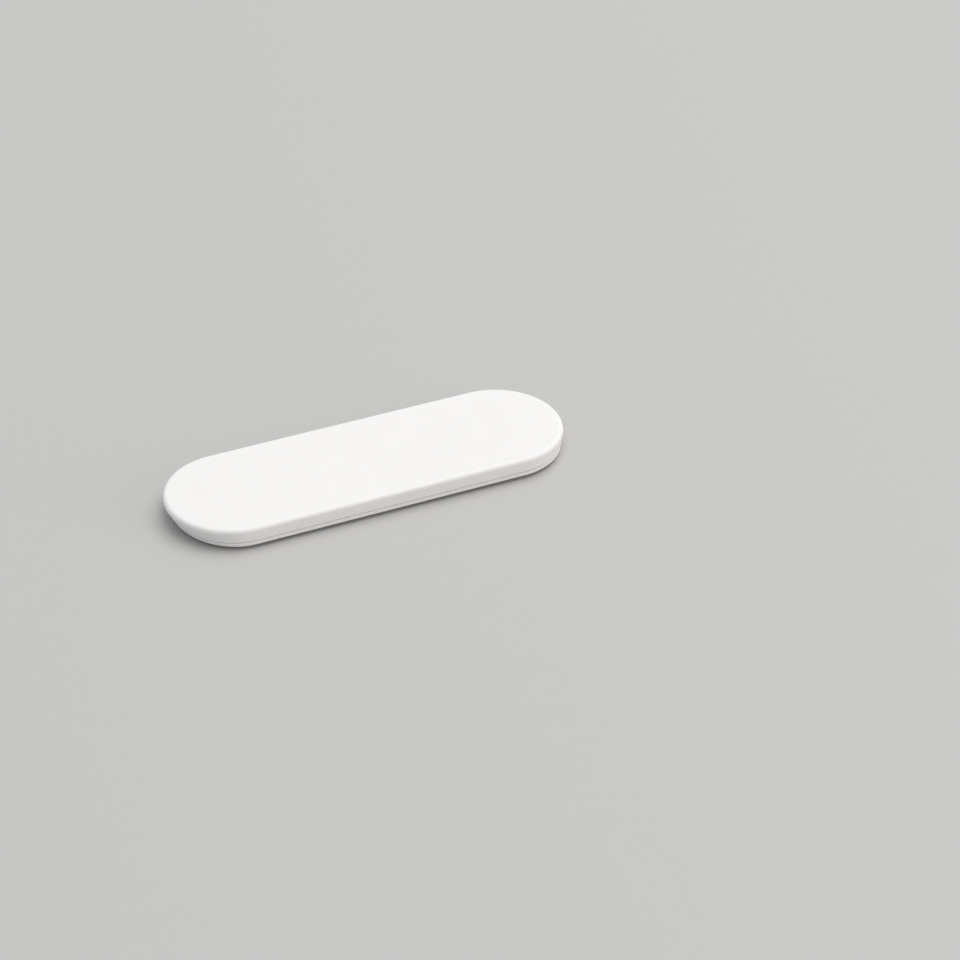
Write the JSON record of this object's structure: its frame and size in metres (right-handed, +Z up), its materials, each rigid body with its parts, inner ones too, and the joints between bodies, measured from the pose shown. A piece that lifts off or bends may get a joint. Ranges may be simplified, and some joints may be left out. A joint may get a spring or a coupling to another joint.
{
  "type": "stick-on folding phone stand",
  "caption": "Thin white pill-shaped stand that sticks flat to the back of a phone; its top is a leg that hinges up at one end to prop the phone on a desk.",
  "frame": {"origin": "middle of the pill's outline, on the surface that the tape sticks to", "axes": "+X along the pill towards the hinge, +Z up, away from the phone"},
  "size_m": [0.0832, 0.0268, 0.0046],
  "materials": {
    "white_plastic": "fine satin texture",
    "foam_tape": "matt foam with tacky faces",
    "pin_steel": "ground",
    "spring_steel": "rolled strip"
  },
  "bodies": {
    "base": {"foam_tape": "foam_tape", "base_plate": "white_plastic", "friction_sleeve": "spring_steel"},
    "leg": {"leg_plate": "white_plastic", "hinge_pin": "pin_steel"}
  },
  "joints": [
    {"name": "leg_hinge", "type": "hinge", "parent": "base", "child": "leg", "pos_m": [0.0394, 0, 0.00255], "axis": [0, 1, 0], "range_deg": [0, 90]}
  ]
}
